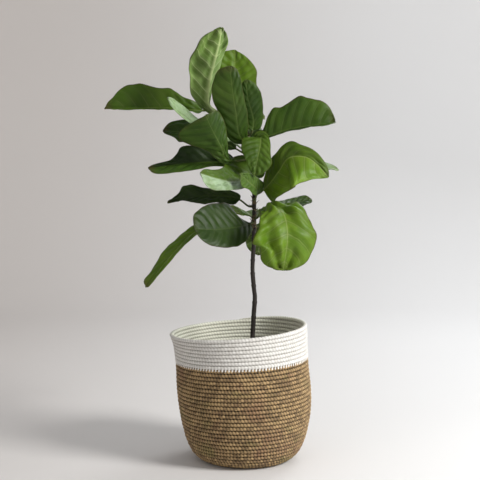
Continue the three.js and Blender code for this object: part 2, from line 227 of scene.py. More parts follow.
# ---------------------------------------------------------------- materials
class Surface:
    """A material whose nodes are made by calls. Numbers and colours set sockets; sockets are linked."""

    def __init__(self, name):
        self.material = bpy.data.materials.new(name)
        self.material.use_nodes = True
        self.tree = self.material.node_tree
        self.tree.nodes.clear()

    def put(self, node, key, value):
        socket = node.inputs[key]
        if isinstance(value, bpy.types.NodeSocket):
            self.tree.links.new(value, socket)
        elif socket.type == "RGBA":
            socket.default_value = (*value, 1.0)
        else:
            socket.default_value = value

    def node(self, kind, settings=None, **inputs):
        node = self.tree.nodes.new("ShaderNode" + kind)
        for key, value in (settings or {}).items():
            setattr(node, key, value)
        for key, value in inputs.items():
            self.put(node, key.replace("_", " "), value)
        return node

    def math(self, operation, *values, clamp=False):
        node = self.node("Math", {"operation": operation, "use_clamp": clamp})
        for i, value in enumerate(values):
            self.put(node, i, value)
        return node.outputs[0]

    def plus(self, a, b, clamp=False):
        return self.math("ADD", a, b, clamp=clamp)

    def minus(self, a, b, clamp=False):
        return self.math("SUBTRACT", a, b, clamp=clamp)

    def times(self, a, b, clamp=False):
        return self.math("MULTIPLY", a, b, clamp=clamp)

    def size(self, value):
        return self.math("ABSOLUTE", value)

    def ramp(self, value, low, high, start=0.0, end=1.0):
        node = self.node("MapRange", {"interpolation_type": "SMOOTHSTEP"}, Value=value)
        for key, number in (("From Min", low), ("From Max", high), ("To Min", start), ("To Max", end)):
            self.put(node, key, number)
        return node.outputs[0]

    def mix(self, share, a, b):
        node = self.node("Mix", {"data_type": "RGBA"})
        for key, value in ((0, share), (6, a), (7, b)):
            self.put(node, key, value)
        return node.outputs[2]

    def field(self, name, output="Fac"):
        return self.node("Attribute", {"attribute_name": name}).outputs[output]

    def split(self, vector):
        return self.node("SeparateXYZ", None, Vector=vector).outputs

    def place(self):
        return self.node("TexCoord").outputs["Object"]

    def stretch(self, vector, scale):
        return self.node("Mapping", None, Vector=vector, Scale=scale).outputs[0]

    def noise(self, vector, scale, detail=3.0, roughness=0.5):
        node = self.node("TexNoise", None, Vector=vector, Scale=scale, Detail=detail, Roughness=roughness)
        return node.outputs["Fac"]

    def bump(self, height, strength, distance):
        return self.node("Bump", None, Height=height, Strength=strength, Distance=distance).outputs[0]

    def finish(self, through=None, share=0.0, **inputs):
        shader = self.node("BsdfPrincipled", None, **inputs)
        out = self.node("OutputMaterial")
        if through is None:
            self.tree.links.new(shader.outputs[0], out.inputs[0])
            return self.material
        glow = self.node("BsdfTranslucent", None, Color=through)
        both = self.node("MixShader")
        self.put(both, 0, share)
        self.tree.links.new(shader.outputs[0], both.inputs[1])
        self.tree.links.new(glow.outputs[0], both.inputs[2])
        self.tree.links.new(both.outputs[0], out.inputs[0])
        return self.material


def fibre(name, dark, light, warm, green, crease_shade, spread, inside=None):
    """Strips of dried leaf wound round a coil, each with its own tone and fine fibres, and painted shade in the
    creases.
    """
    s = Surface(name)
    wound = s.field("wound", "Vector")
    parts = s.split(wound)
    strip = s.math("FLOOR", parts[0])
    tone = s.node("TexWhiteNoise", {"noise_dimensions": "1D"}, W=strip).outputs["Value"]
    patch = s.noise(s.place(), 9.0, 3.0, 0.6)
    grain = s.noise(s.stretch(wound, (9.0, 2.2, 1.0)), 1.0, 4.0, 0.65)
    colour = s.mix(s.plus(s.times(tone, spread), s.times(grain, 0.5), clamp=True), dark, light)
    colour = s.mix(s.ramp(patch, 0.50, 0.70, 0.0, 0.60), colour, warm)
    other = s.noise(s.stretch(s.place(), (1.0, 1.0, 1.6)), 13.0, 2.0, 0.5)
    colour = s.mix(s.ramp(other, 0.56, 0.74, 0.0, 0.7), colour, green)
    # painted shade with a greenish bounce on the coil's inward side
    if inside is not None:
        colour = s.mix(s.ramp(s.field("inward"), 0.2, 0.8, 0.0, 0.85), colour, inside)
    # painted shade in the creases between stitches and between coils
    colour = s.mix(s.field("crease"), colour, crease_shade)
    rough = s.ramp(grain, 0.2, 0.8, 0.62, 0.88)
    normal = s.bump(grain, 0.5, 0.0009)
    return s.finish(Base_Color=colour, Roughness=rough, Normal=normal)


def leaf_side(name, top):
    """One side of a leaf. The mesh gives u along the blade, v across it and w counting the side veins."""
    s = Surface(name)
    parts = s.split(s.field("blade", "Vector"))
    u, v, w = parts[0], parts[1], parts[2]
    tint = s.split(s.field("tint", "Vector"))
    young, painted_shade, dry = tint[0], tint[1], tint[2]
    reach = s.size(v)
    across = s.size(s.field("across"))
    place = s.place()
    drift = s.times(s.minus(s.noise(place, 38.0, 2.0), 0.5), 0.16)
    nearest = s.size(s.minus(s.math("FRACT", s.plus(s.plus(w, drift), 0.5)), 0.5))
    width = s.minus(0.085 if top else 0.11, s.times(reach, 0.045))
    lateral = s.minus(1.0, s.math("DIVIDE", nearest, width), clamp=True)
    fine = s.size(s.minus(s.math("FRACT", s.plus(s.times(w, 3.0), drift)), 0.5))
    thin = s.times(s.minus(1.0, s.math("DIVIDE", fine, 0.12), clamp=True), 0.35)
    rib_width = s.ramp(u, 0.0, 1.0, 0.0034 if top else 0.0046, 0.0012)
    rib = s.minus(1.0, s.math("DIVIDE", across, rib_width), clamp=True)
    cells = s.node("TexVoronoi", {"feature": "DISTANCE_TO_EDGE"}, Vector=place, Scale=190.0)
    net = s.ramp(cells.outputs["Distance"], 0.0, 0.09, 1.0, 0.0)
    cloud = s.noise(place, 26.0, 4.0, 0.6)
    tone = s.ramp(cloud, 0.3, 0.7)
    speck = s.noise(place, 420.0, 3.0, 0.6)
    if top:
        base = s.mix(tone, (0.018, 0.052, 0.003), (0.044, 0.096, 0.006))
        base = s.mix(young, base, s.mix(tone, (0.120, 0.245, 0.006), (0.205, 0.345, 0.018)))
        base = s.mix(s.times(net, 0.18), base, (0.080, 0.140, 0.018))
        vein = s.mix(young, (0.120, 0.185, 0.040), (0.360, 0.440, 0.120))
        strength = (0.46, 0.90)
    else:
        base = s.mix(tone, (0.080, 0.155, 0.018), (0.145, 0.235, 0.038))
        base = s.mix(young, base, s.mix(tone, (0.165, 0.300, 0.036), (0.275, 0.420, 0.080)))
        base = s.mix(s.times(net, 0.3), base, (0.210, 0.290, 0.085))
        vein = (0.460, 0.560, 0.230)
        strength = (0.75, 0.95)
    lines = s.math("MAXIMUM", lateral, thin)
    # painted shade along the side veins, in the grooves of the upper side
    groove_shade = s.times(s.ramp(nearest, 0.30, 0.08, 0.0, 0.30 if top else 0.20), s.ramp(reach, 0.95, 0.5))
    base = s.mix(groove_shade, base, s.mix(0.6, base, (0.010, 0.022, 0.004)))
    base = s.mix(s.times(lines, strength[0]), base, vein)
    base = s.mix(s.times(rib, strength[1]), base, vein)
    base = s.mix(s.ramp(u, 0.0, -0.01, 0.0, 1.0), base, (0.130, 0.150, 0.050))
    # painted reflection: a pale glossy sheen painted onto the chosen halves
    reflection_share = s.times(s.field("painted_reflection"), s.ramp(cloud, 0.35, 0.62, 0.45, 1.0))
    base = s.mix(reflection_share, base, (0.400, 0.530, 0.340))
    blotch = s.noise(place, 13.0, 3.0, 0.55)
    base = s.mix(s.ramp(blotch, 0.42, 0.68, 0.0, 0.45), base, s.mix(0.68, base, (0.008, 0.016, 0.003)))
    base = s.mix(s.ramp(blotch, 0.50, 0.34, 0.0, 0.30), base, s.mix(0.35, base, (0.240, 0.330, 0.060)))
    # painted shade: the whole leaf, or one half of it, darkened towards near black
    base = s.mix(painted_shade, base, (0.009, 0.021, 0.004))
    worn = s.plus(s.ramp(reach, 0.93, 1.0, 0.0, 0.8), s.times(s.ramp(u, 0.90, 1.0), dry))
    worn = s.times(worn, s.ramp(speck, 0.35, 0.65, 0.35, 1.0), clamp=True)
    base = s.mix(worn, base, (0.095, 0.060, 0.024))
    height = s.plus(s.times(net, -0.25 if top else 0.5), s.times(lines, -0.6 if top else 1.0))
    height = s.plus(height, s.times(speck, 0.25))
    normal = s.bump(height, 0.35 if top else 0.5, 0.0008)
    glossiest, dullest = (0.36, 0.54) if top else (0.55, 0.74)
    rough = s.ramp(s.plus(cloud, s.times(speck, 0.3)), 0.3, 1.0, glossiest, dullest)
    through = s.mix(0.5, base, (0.260, 0.400, 0.020))
    return s.finish(through, 0.14, Base_Color=base, Roughness=rough, Normal=normal, Specular_IOR_Level=0.22)


def plastic(name, colour, roughness, grain):
    s = Surface(name)
    cloud = s.noise(s.place(), 14.0, 3.0)
    fine = s.noise(s.place(), grain, 2.0)
    darker, lighter = ([share * c for c in colour] for share in (0.8, 1.2))
    tone = s.mix(s.ramp(cloud, 0.3, 0.7), darker, lighter)
    dust = s.ramp(s.noise(s.place(), 60.0, 4.0), 0.55, 0.8, 0.0, 0.25)
    dusty = s.mix(dust, tone, (0.22, 0.19, 0.15))
    rough = s.ramp(fine, 0.2, 0.8, roughness - 0.08, roughness + 0.1)
    return s.finish(Base_Color=dusty, Roughness=rough, Normal=s.bump(fine, 0.2, 0.0004))


def earth(name, dark, light, scale):
    s = Surface(name)
    crumb = s.noise(s.place(), scale, 5.0, 0.7)
    cell = s.node("TexVoronoi", None, Vector=s.place(), Scale=scale * 1.4).outputs["Color"]
    bits = s.node("SeparateColor", None, Color=cell).outputs[0]
    colour = s.mix(s.times(crumb, bits), dark, light)
    return s.finish(Base_Color=colour, Roughness=0.95, Normal=s.bump(crumb, 0.7, 0.002))


def bark_surface():
    s = Surface("bark")
    place = s.place()
    long = s.noise(s.stretch(place, (1.0, 1.0, 0.12)), 900.0, 4.0, 0.6)
    blotch = s.noise(place, 60.0, 4.0, 0.6)
    colour = s.mix(s.ramp(long, 0.3, 0.75), (0.006, 0.0045, 0.0035), (0.030, 0.021, 0.015))
    colour = s.mix(s.ramp(blotch, 0.55, 0.75, 0.0, 0.6), colour, (0.050, 0.038, 0.028))
    colour = s.mix(s.ramp(s.field("youth"), 0.35, 1.0, 0.0, 0.8), colour, (0.070, 0.085, 0.030))
    return s.finish(Base_Color=colour, Roughness=0.82, Normal=s.bump(long, 0.8, 0.0012))


def sheath_surface():
    s = Surface("sheath")
    long = s.noise(s.stretch(s.place(), (1.0, 1.0, 0.1)), 700.0, 3.0)
    colour = s.mix(s.ramp(long, 0.3, 0.7), (0.030, 0.022, 0.010), (0.150, 0.105, 0.045))
    return s.finish(Base_Color=colour, Roughness=0.7, Normal=s.bump(long, 0.6, 0.0006))


# the colour for the creases is painted shade; the white band's inside colour is painted shade with a greenish
# bounce
STRAW = fibre(
    "straw", dark=(0.105, 0.060, 0.025), light=(0.530, 0.360, 0.168), warm=(0.270, 0.140, 0.075),
    green=(0.250, 0.205, 0.070), crease_shade=(0.014, 0.008, 0.004), spread=0.75,
)
WHITE = fibre(
    "white", dark=(0.620, 0.600, 0.560), light=(0.840, 0.830, 0.800), warm=(0.760, 0.745, 0.700),
    green=(0.700, 0.700, 0.660), crease_shade=(0.240, 0.215, 0.185), spread=0.5, inside=(0.700, 0.710, 0.590),
)
LEAF_TOP = leaf_side("leaf_top", True)
LEAF_UNDER = leaf_side("leaf_under", False)
POT = plastic("pot_plastic", (0.030, 0.030, 0.032), 0.42, 900.0)
TERRACOTTA = plastic("saucer_plastic", (0.270, 0.095, 0.045), 0.5, 700.0)
SOIL = earth("soil", (0.012, 0.008, 0.005), (0.120, 0.075, 0.045), 220.0)
CHIPS = earth("bark_chips", (0.040, 0.020, 0.010), (0.260, 0.145, 0.075), 150.0)
PERLITE = earth("perlite", (0.480, 0.470, 0.440), (0.820, 0.810, 0.790), 500.0)
BARK = bark_surface()
SHEATH = sheath_surface()

# ---------------------------------------------------------------- basket
HEIGHT = 345.0
COIL = 10.0
SHARES = np.array([0, 0.06, 0.14, 0.25, 0.38, 0.52, 0.74, 1])
RADII = np.array([116, 140, 155, 165.8, 173, 176, 174, 178.0])
RIM_LEAN = 17  # how far the soft rim leans to the left
RIM_FLARE = 6  # how much further its left side turns outward
RIM_TILT = 11.4  # how far its right side stands up
SPLIT = 267.0  # height where the straw colour changes to white
STITCH = 8.4
# rounds of the coil; whole numbers of turns fall at the back of the basket
FLOOR_TURNS, WALL_TURNS, BAND_TURNS = 11, 26, 8
BAND_START = FLOOR_TURNS + WALL_TURNS
LAST_TURN = BAND_START + BAND_TURNS
END_TAPER = 0.12  # the part of a turn over which the coil's end thins out
FLOOR_STEPS = 60


def wall_radius(z):
    """The wall's outer radius at a height, smooth between the listed ones."""
    x = np.clip(np.asarray(z, float) / HEIGHT, 0, 1)
    slope = np.gradient(RADII, SHARES)
    i = np.clip(np.searchsorted(SHARES, x, "right") - 1, 0, len(SHARES) - 2)
    h = SHARES[i + 1] - SHARES[i]
    t = (x - SHARES[i]) / h
    return hermite(RADII[i], RADII[i + 1], slope[i] * h, slope[i + 1] * h, t)


def soften(points):
    """The basket is soft: it leans and tilts towards the rim, and its belly bulges here and there."""
    x, y, z = points[..., 0], points[..., 1], points[..., 2]
    share = np.clip(z / HEIGHT, 0, 1)
    angle = np.arctan2(y, x)
    lobes = 0.009 * np.sin(2 * angle + 0.6) + 0.007 * np.sin(3 * angle + 5 * share)
    scale = 1 + lobes * np.sin(np.pi * share)
    flare = RIM_FLARE * smoothstep(share, 0.88, 1) * np.clip(-x / RADII[-1], 0, 1)
    lean = RIM_LEAN * share**2 + flare
    tilt = RIM_TILT * share**4 * x / RADII[-1]
    return np.stack([x * scale - lean, y * scale, z + tilt], -1)


def coil_section():
    """The coil's middle from the centre of the floor to the rim, as (radius, height) points."""
    floor = [[r, COIL / 2 + 0.8] for r in np.linspace(0, 112, FLOOR_STEPS)]
    wall = [[wall_radius(z) - COIL / 2, z] for z in np.linspace(9, HEIGHT - COIL / 2, 300)]
    return np.array(floor + wall)


section = coil_section()
section_at = running_length(section)


def spiral():
    """Turns along the coil, and at each the place along the section and the length of coil up to there."""
    split = np.interp(SPLIT, section[FLOOR_STEPS:, 1], section_at[FLOOR_STEPS:])
    turns = np.linspace(0, LAST_TURN, 60000)
    knots = [4.0, section_at[FLOOR_STEPS], split, section_at[-1] + 5]
    course = np.interp(turns, [0, FLOOR_TURNS, BAND_START, LAST_TURN], knots)
    course = np.convolve(np.pad(course, 600, "reflect", reflect_type="odd"), np.ones(1201) / 1201, "valid")
    radius = along_curve(section, section_at, np.clip(course, 0, section_at[-1]))[:, 0]
    steps = np.hypot(2 * np.pi * radius[1:] * np.diff(turns), np.diff(course))
    return turns, course, np.concatenate([[0], np.cumsum(steps)])


coil_turns, coil_course, coil_travelled = spiral()


def coils():
    for name, start, end in (
        ("basket_floor", 0.35, FLOOR_TURNS),
        ("basket_wall_low", FLOOR_TURNS, FLOOR_TURNS + 8),
        ("basket_wall_middle", FLOOR_TURNS + 8, FLOOR_TURNS + 16),
        ("basket_wall_high", FLOOR_TURNS + 16, BAND_START),
    ):
        one_coil(name, start, end, STRAW, "basket_body")
    one_coil("basket_band", BAND_START, LAST_TURN, WHITE, "basket_rim_band")
    boundary_stitches()


def coil_frame(turn):
    """Centre, outward and upward directions of the coil, in the basket's plain shape."""
    s = np.interp(turn, coil_turns, coil_course)
    inside = np.clip(s, 0, section_at[-1])
    at, ahead, behind = (
        along_curve(section, section_at, np.clip(inside + step, 0, section_at[-1])) for step in (0, 6, -6)
    )
    slope = unit(ahead - behind)
    at = at + slope * (s - inside)[:, None]
    angle = np.pi / 2 + 2 * np.pi * turn
    radial = np.stack([np.cos(angle), np.sin(angle), np.zeros_like(angle)], -1)
    rise = radial * slope[:, :1] + UP * slope[:, 1:]
    out = radial * slope[:, 1:] - UP * slope[:, :1]
    return radial * at[:, :1] + UP * at[:, 1:], out, rise


def one_coil(name, start, end, material, node):
    """A length of coil: a bead for each stitch wound round it, sunk where the stitches meet, with painted shade
    there.
    """
    sharpness, depth, crease_shade_strength = (0.72, 0.19, 1.0) if material == STRAW else (0.55, 0.09, 0.6)
    begin, finish = np.interp([start, end], coil_turns, coil_travelled)
    samples = np.arange(begin, finish, STITCH / 6)
    turn = np.interp(samples, coil_travelled, coil_turns)
    centre, out, rise = coil_frame(turn)
    phi = circle(12)
    count = samples[:, None] / STITCH + phi / (2 * np.pi)
    strip, phase = np.floor(count), np.mod(count, 1)
    gap = 1 - np.abs(np.sin(np.pi * phase)) ** sharpness
    pinch = np.abs(np.sin(phi)) ** 3
    size = 5.25 * (1 + 0.05 * (chance(strip) - 0.5) + 0.02 * waves(samples / 30, 7)[:, None])
    radius = size * (1.03 - gap * (depth + 0.26 * pinch))
    taper = np.clip((LAST_TURN - turn) / END_TAPER, 0.04, 1) ** 0.6
    ending = turn > LAST_TURN - END_TAPER
    radius = radius * np.where(ending, taper, 1)[:, None]
    sag = np.where(ending, (1 - taper) * 4.5, 0)
    wander = 0.35 * waves(samples / 45, 3)
    middle = centre + out * wander[:, None] - rise * sag[:, None]
    around = out[:, None] * (0.97 * np.cos(phi))[:, None] + rise[:, None] * np.sin(phi)[:, None]
    rings = middle[:, None] + radius[..., None] * around
    # painted shade in the gaps between stitches and where one coil meets the next
    crease = np.clip(gap * (0.66 + 0.5 * pinch) * 1.25 + 0.5 * pinch**2, 0, 1) * crease_shade_strength
    # how far each point faces into the basket: the mask of the painted inside shade
    inward = np.broadcast_to(0.5 - 0.5 * np.cos(phi), radius.shape)
    wound = np.stack(np.broadcast_arrays(count, samples[:, None] / STITCH, phi), -1)
    fields = {"wound": wound, "crease": crease, "inward": inward}
    piece = tube(name, soften(rings) * MM, [material], fields, turn - math.floor(start))
    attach(piece, "root")
    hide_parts(node)


def boundary_stitches():
    """The white strip's first round is sewn over the straw coil below, so short white stitches show."""
    begin, finish = np.interp([BAND_START, BAND_START + 1], coil_turns, coil_travelled)
    starts = np.arange(begin + STITCH / 2, finish, STITCH)
    total = len(starts)
    centre, out, rise = coil_frame(np.interp(starts, coil_travelled, coil_turns))
    step = unit(np.cross(rise, out))
    reach = 6.4 + 1.6 * chance(np.arange(total))
    middle = centre - rise * 5.1
    width = 2.1 + 0.5 * chance(np.arange(total), 3.0)
    along = np.linspace(-1, 1, 9)
    side = np.linspace(0, 2 * np.pi, 8, endpoint=False)
    rings = []
    for t in along:
        bulge = 5.3 - 1.7 * (1 - t * t) ** 2 - 2.6 * np.clip(abs(t) - 0.55, 0, 1) ** 1.2
        spot = middle + rise * (reach * 0.75 * t)[:, None] + out * bulge + step * (0.9 * t)
        fat = np.sqrt(np.clip(1 - t**4, 0.02, 1))
        across = step[:, None] * (width[:, None] * fat * np.cos(side))[..., None]
        rings.append(spot[:, None] + across + out[:, None] * (fat * np.sin(side))[:, None])
    rings = np.stack(rings, 1)
    levels, sides = rings.shape[1:3]
    _, ring, place = grid_faces(levels, sides)
    number = np.arange(total)
    wound = np.stack(np.broadcast_arrays(number[:, None, None] + 0.5, along[None, :, None], side), -1)
    flat = np.zeros(rings[..., 0].size)
    # each stitch has its own cell of the bake map
    cells = math.ceil(math.sqrt(total))
    own = np.concatenate([np.stack([place / sides, ring / (levels - 1)], -1), np.full((6, 4, 2), 0.5)])
    cell = np.stack([number % cells, number // cells], -1)
    corners = (cell[:, None, None] + 0.05 + 0.9 * own[None]) / cells
    fields = {"wound": wound.reshape(-1, 3), "crease": flat, "inward": flat}
    piece = many("basket_band_stitches", soften(rings), WHITE, fields, corners.reshape(-1, 2))
    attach(piece, "root")
    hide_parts("basket_rim_band")


# ---------------------------------------------------------------- saucer, pot and soil
SAUCER_FOOT = 10.3
POT_FOOT = 13.0
POT_HEIGHT = 250.0
SOIL_LEVEL = 243.0
SOIL_MOUND = 7  # how far the soil rises towards the stem


def inner_pieces():
    _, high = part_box("drip_saucer")
    rim, lip = high.x / MM, high.z / MM
    foot, z = rim - 3, SAUCER_FOOT
    profile = [
        [0.01, z], [foot - 1, z], [foot, z + 1], [rim - 0.4, lip - 1.6], [rim, lip - 0.8], [rim - 0.5, lip],
        [rim - 1.9, lip], [rim - 2.4, lip - 0.8], [foot - 2.4, z + 3.6], [foot - 3.6, z + 2.5], [0.01, z + 2.4],
    ]
    saucer = turned("saucer", profile, 96, TERRACOTTA)
    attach(saucer, "root")
    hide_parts("drip_saucer")

    _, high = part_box("nursery_pot")
    top = high.x / MM
    foot = foot - 6.4

    def body(h):
        return lerp(foot, top - 4, h / POT_HEIGHT)

    z = POT_FOOT
    profile = [
        [0.01, z + 1.5], [foot - 30, z + 1.5], [foot - 26, z], [foot - 2, z], [foot, z + 2], [body(60), z + 60],
        [body(62) + 0.6, z + 62], [body(64), z + 64], [body(140), z + 140], [body(142) + 0.6, z + 142],
        [body(144), z + 144], [body(226), z + 226], [top - 1, z + 228], [top - 0.3, z + 229],
        [top - 0.2, z + 243], [top, z + 246], [top + 0.9, z + 248], [top + 0.6, z + 249.6],
        [top - 0.8, z + 250], [top - 2.1, z + 249.2], [top - 2.3, z + 246], [top - 2.4, z + 231],
        [body(229) - 2.2, z + 229.5], [body(140) - 2.2, z + 140], [foot - 2.2, z + 4], [foot - 5, z + 2.2],
        [0.01, z + 3.0],
    ]
    pot = turned("pot", profile, 120, POT)
    drains, drain_ring = 6, (foot - 16) * MM
    for i in range(drains):
        angle = i * 2 * math.pi / drains
        spot = (drain_ring * math.cos(angle), drain_ring * math.sin(angle), POT_FOOT * MM)
        bpy.ops.mesh.primitive_cylinder_add(vertices=24, radius=0.007, depth=0.02, location=spot)
        drill = bpy.context.object
        cut = pot.modifiers.new("drain", "BOOLEAN")
        cut.object, cut.solver = drill, "EXACT"
        bpy.context.view_layer.objects.active = pot
        bpy.ops.object.modifier_apply(modifier=cut.name)
        bpy.data.objects.remove(drill)
    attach(pot, "root")
    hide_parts("nursery_pot")
    soil(body(228) - 2.9)


def soil(edge):
    rng = np.random.default_rng(11)
    sides, steps = 160, 46
    r, a = np.meshgrid(np.linspace(0.6, edge, steps), circle(sides), indexing="ij")
    x, y = r * np.cos(a), r * np.sin(a)
    rough = np.zeros_like(x)
    for size, height in ((60, 1.6), (25, 1.2), (11, 0.9), (5, 0.6)):
        for _ in range(5):
            turn, phase = rng.uniform(0, 2 * np.pi, 2)
            across = x * math.cos(turn) + y * math.sin(turn)
            rough += height / 2.2 * np.sin(across * 2 * np.pi / size + phase)
    z = SOIL_LEVEL + SOIL_MOUND * (1 - r / edge) + rough * smoothstep(edge - r, 0, 6)
    z = z - 3 * smoothstep(r, edge - 10, edge)
    top = np.stack([x, y, z], -1)
    bottom = np.stack([x[::-1], y[::-1], np.full_like(x, POT_FOOT + 190)], -1)
    surface = tube("soil", np.concatenate([bottom[-1:], bottom[:1], top[::-1]]) * MM, [SOIL])
    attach(surface, "root")
    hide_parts("potting_soil")
    crumbs("bark_chips", CHIPS, 420, 2.2, 6.5, 0.45, edge, rng)
    crumbs("perlite", PERLITE, 170, 0.9, 2.2, 0.9, edge, rng)
    crumbs("soil_crumbs", SOIL, 700, 1.2, 3.4, 0.8, edge, rng)


def crumbs(name, material, count, small, large, flat, edge, rng):
    """Small broken lumps scattered over the soil, each an irregular eight-sided ball."""
    far = np.sqrt(rng.uniform(0.004, 1, count)) * (edge - 7)
    angle = rng.uniform(0, 2 * np.pi, count)
    x, y = far * np.cos(angle), far * np.sin(angle)
    clear = np.hypot(x - 18, y) > 15
    x, y, far = x[clear], y[clear], far[clear]
    total = len(x)
    size = rng.uniform(small, large, (total, 1, 1))
    levels, sides = 5, 8
    tip = np.linspace(-np.pi / 2 + 0.25, np.pi / 2 - 0.25, levels)
    ball = revolve(np.stack([np.cos(tip), np.sin(tip)], -1), sides)
    ball = ball[None] * (1 + rng.uniform(-0.28, 0.28, (total, levels, sides, 1)))
    stretch = np.concatenate([rng.uniform(0.6, 1.5, (total, 1, 1, 2)), np.full((total, 1, 1, 1), flat)], -1)
    ball *= stretch * size[..., None]
    spin = rng.uniform(0, 2 * np.pi, (total, 1, 1))
    lean = rng.uniform(-0.5, 0.5, (total, 1, 1))
    bx, by, bz = ball[..., 0], ball[..., 1], ball[..., 2]
    bx, bz = bx * np.cos(lean) - bz * np.sin(lean), bx * np.sin(lean) + bz * np.cos(lean)
    bx, by = bx * np.cos(spin) - by * np.sin(spin), bx * np.sin(spin) + by * np.cos(spin)
    level = SOIL_LEVEL + SOIL_MOUND * (1 - far / edge) + 0.9
    points = np.stack([bx + x[:, None, None], by + y[:, None, None], bz + level[:, None, None]], -1)
    piece = many(name, points, material)
    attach(piece, "root")
    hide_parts("potting_soil")


# ---------------------------------------------------------------- stem and bud
STEM_PATH = [
    [18, 0, -120], [18, 0, 0], [18, 0, 75], [21, 0, 135], [24, 0, 185], [22, 0, 203], [18, 0, 255],
    [19, 0, 290], [21, 0, 330], [22, 0, 440], [20, 0, 520], [10, 0, 590], [-4, 3, 640], [-20, 6, 680],
]
STEM_BASE_RADIUS, STEM_TIP_RADIUS = 6.6, 4.0
ROOT_FLARE, ROOT_FLARE_HEIGHT = 3.5, 35  # how much wider the stem is where it meets the soil, and how far up
LEAF_SCARS = [60, 98, 131, 170, 214, 246, 281, 312, 340]  # heights of old scars on the bare stem
stem_points = catmull(np.array(STEM_PATH, float) + UP * SOIL_LEVEL)
stem_lengths = running_length(stem_points)


def stem_axis(height):
    """The stem's axis at a height above the soil."""
    z = SOIL_LEVEL + height
    return np.array([np.interp(z, stem_points[:, 2], stem_points[:, i]) for i in range(3)])


def stem_radius(z):
    share = np.clip((z - SOIL_LEVEL) / (stem_points[-1, 2] - SOIL_LEVEL), 0, 1)
    flare = ROOT_FLARE * np.exp(-(((z - SOIL_LEVEL) / ROOT_FLARE_HEIGHT) ** 2))
    return lerp(STEM_BASE_RADIUS, STEM_TIP_RADIUS, share) + flare


def stem(nodes):
    sides, stations = 24, 420
    at = np.linspace(95, stem_lengths[-1], stations)
    centre = along_curve(stem_points, stem_lengths, at)
    height = centre[:, 2] - SOIL_LEVEL
    scars = list(nodes) + LEAF_SCARS
    swell = sum(0.75 * np.exp(-(((height - h) / 3.2) ** 2)) for h in scars)
    pinch = sum(0.35 * np.exp(-(((height - h - 5) / 2.5) ** 2)) for h in scars)
    angle, up = circle(sides), height[:, None]
    ridges = 0.16 * np.sin(angle * 5 + 0.02 * up) + 0.12 * np.sin(angle * 9 - 0.05 * up)
    radius = (stem_radius(centre[:, 2]) + swell - pinch + 0.3 * waves(height / 20, 5))[:, None] + ridges
    ring = np.stack([radius * np.cos(angle), radius * np.sin(angle), np.zeros_like(radius)], -1)
    rings = centre[:, None] + ring
    youth = np.repeat(smoothstep(height, 380, 700)[:, None], sides, 1)
    piece = tube("trunk", rings * MM, [BARK], {"youth": youth}, np.linspace(0, 5.999, stations))
    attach(piece, "root")
    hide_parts("stem")


def bud():
    base = stem_points[-1] + UP * 0.3
    lean = unit(np.array([-0.18, 0.05, 1.0]))
    side = unit(np.cross(lean, [0, 1, 0]))
    front = np.cross(side, lean)
    angle = circle(16)
    around = side * np.cos(angle)[:, None] + front * np.sin(angle)[:, None]
    share = np.linspace(0, 1, 26)
    for name, length, width, turn, bend in (
        ("bud", 33, 4.2, 0.0, 0.0),
        ("bud_scale_low", 17, 4.9, 1.2, 1.6),
        ("bud_scale_high", 24, 4.6, 3.6, -1.4),
    ):
        profile = width * np.interp(share, [0, 0.12, 0.35, 0.65, 0.9, 1], [0.8, 1, 0.88, 0.5, 0.16, 0.03])
        crease = 1 + 0.07 * np.cos(3 * angle + turn)
        bent = (side * math.cos(turn) + front * math.sin(turn)) * (bend * share**2)[:, None]
        centre = base + lean * (share * length)[:, None] + bent
        rings = centre[:, None] + (profile[:, None] * crease)[..., None] * around
        piece = tube(name, rings * MM, [SHEATH])
        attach(piece, "root")
        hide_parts("growing_tip")


def stipules(nodes):
    """Brown papery scales left round the leaf stalks, most of them withered and standing off the stem."""
    rng = np.random.default_rng(23)
    turn = circle(10)
    share = np.linspace(0, 1, 9)
    rings = []
    for node in nodes:
        for _ in range(4):
            height = node + rng.uniform(-9, 10)
            angle = rng.uniform(0, 2 * np.pi)
            out = np.array([math.cos(angle), math.sin(angle), 0.0])
            side = np.cross(UP, out)
            long, wide = rng.uniform(9, 17), rng.uniform(3.2, 5.8)
            spread = rng.uniform(0.1, 0.5)
            base = stem_axis(height) + out * (stem_radius(SOIL_LEVEL + height) - 0.7)
            rise = rng.choice([1.0, 1.0, -0.6])
            centre = base + (out * spread + UP * rise) * (share * long * 0.8)[:, None]
            centre = centre + out * (4 * share**2)[:, None]
            breadth = wide * np.interp(share, [0, 0.3, 0.8, 1], [0.9, 1, 0.45, 0.06])
            thick = 0.45 + 0.25 * (1 - share)
            curl = 0.8 * wide * np.cos(turn) ** 2
            ring = centre[:, None] + side * (breadth[:, None] * np.cos(turn))[..., None]
            hollow = 0.3 * curl * (breadth / wide)[:, None]
            ring = ring + out * (thick[:, None] * np.sin(turn) - hollow)[..., None]
            rings.append(ring)
    piece = many("stipules", np.stack(rings), SHEATH)
    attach(piece, "root")
    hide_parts("stem")
